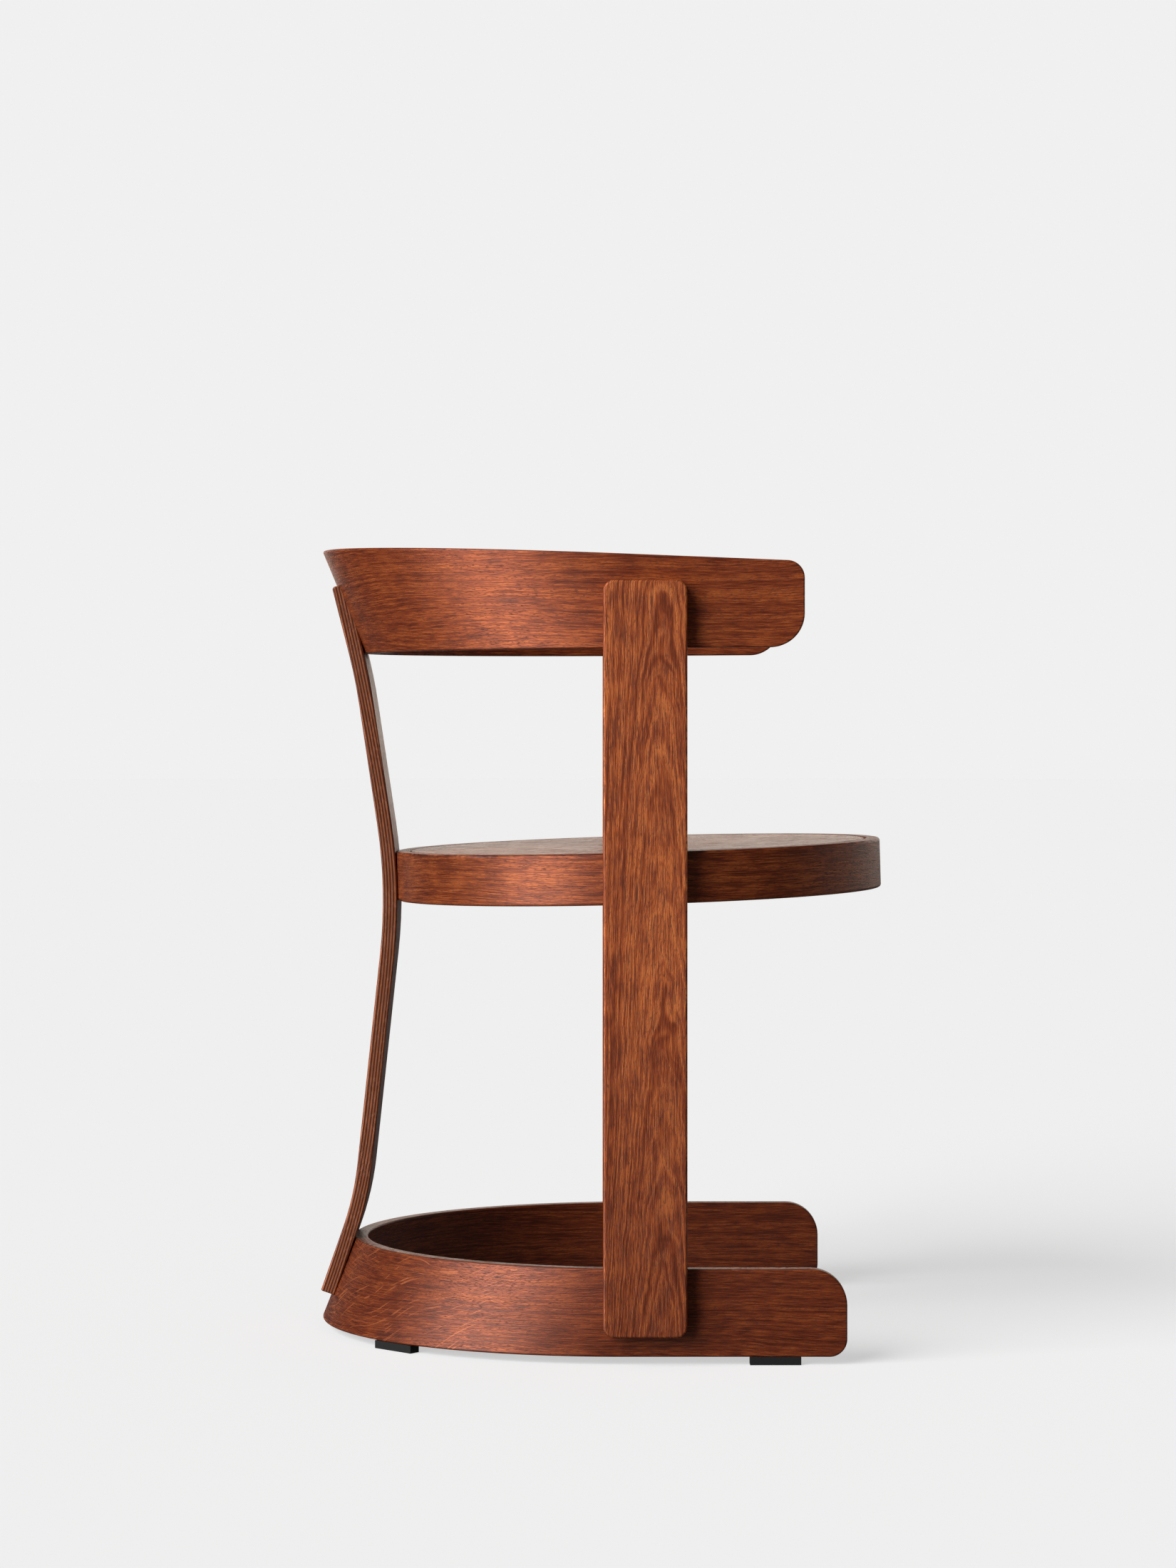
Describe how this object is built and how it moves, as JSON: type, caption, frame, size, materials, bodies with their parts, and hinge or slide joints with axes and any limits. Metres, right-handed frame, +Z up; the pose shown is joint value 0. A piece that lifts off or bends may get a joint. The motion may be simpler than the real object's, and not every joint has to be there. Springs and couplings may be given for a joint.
{
  "type": "armchair",
  "caption": "Bent-plywood armchair with a wrap-around arm and back band, a round tilted seat, side posts, a curved back leg and an open U-shaped base band",
  "frame": {"origin": "on the floor, below the middle of the overall box", "axes": "+Z up; the sitter faces -Y; +X is on the sitter's left"},
  "size_m": [0.502, 0.538, 0.7457],
  "materials": {
    "arm_band": "reddish-brown stained oak veneer, satin lacquer",
    "base_band": "reddish-brown stained oak veneer, satin lacquer",
    "right_post": "reddish-brown stained oak veneer, satin lacquer",
    "left_post": "reddish-brown stained oak veneer, satin lacquer",
    "back_leg": "reddish-brown stained oak veneer, satin lacquer",
    "seat_rim": "reddish-brown stained oak veneer, satin lacquer",
    "seat_panel": "reddish-brown stained oak veneer, satin lacquer",
    "seat_ledge": "stained solid wood, matte",
    "arm_plugs": "reddish-brown stained oak veneer, satin lacquer",
    "base_plugs": "reddish-brown stained oak veneer, satin lacquer",
    "foot_front_right": "matte black",
    "foot_front_left": "matte black",
    "foot_rear_right": "matte black",
    "foot_rear_left": "matte black",
    "arm_bolts": "zinc-plated",
    "base_bolts": "zinc-plated",
    "seat_bolts": "zinc-plated",
    "leg_bolts": "zinc-plated",
    "arm_leg_screws": "zinc-plated",
    "base_leg_screws": "zinc-plated",
    "foot_screws": "zinc-plated",
    "panel_screws": "zinc-plated",
    "saddle_washers": "zinc-plated",
    "right_inserts": "plain",
    "left_inserts": "plain",
    "leg_inserts": "plain"
  },
  "bodies": {
    "root": {"arm_band": "arm_band", "base_band": "base_band", "right_post": "right_post", "left_post": "left_post", "back_leg": "back_leg", "seat_rim": "seat_rim", "seat_panel": "seat_panel", "seat_ledge": "seat_ledge", "arm_plugs": "arm_plugs", "base_plugs": "base_plugs", "foot_front_right": "foot_front_right", "foot_front_left": "foot_front_left", "foot_rear_right": "foot_rear_right", "foot_rear_left": "foot_rear_left", "arm_bolts": "arm_bolts", "base_bolts": "base_bolts", "seat_bolts": "seat_bolts", "leg_bolts": "leg_bolts", "arm_leg_screws": "arm_leg_screws", "base_leg_screws": "base_leg_screws", "foot_screws": "foot_screws", "panel_screws": "panel_screws", "saddle_washers": "saddle_washers", "right_inserts": "right_inserts", "left_inserts": "left_inserts", "leg_inserts": "leg_inserts"}
  },
  "joints": []
}
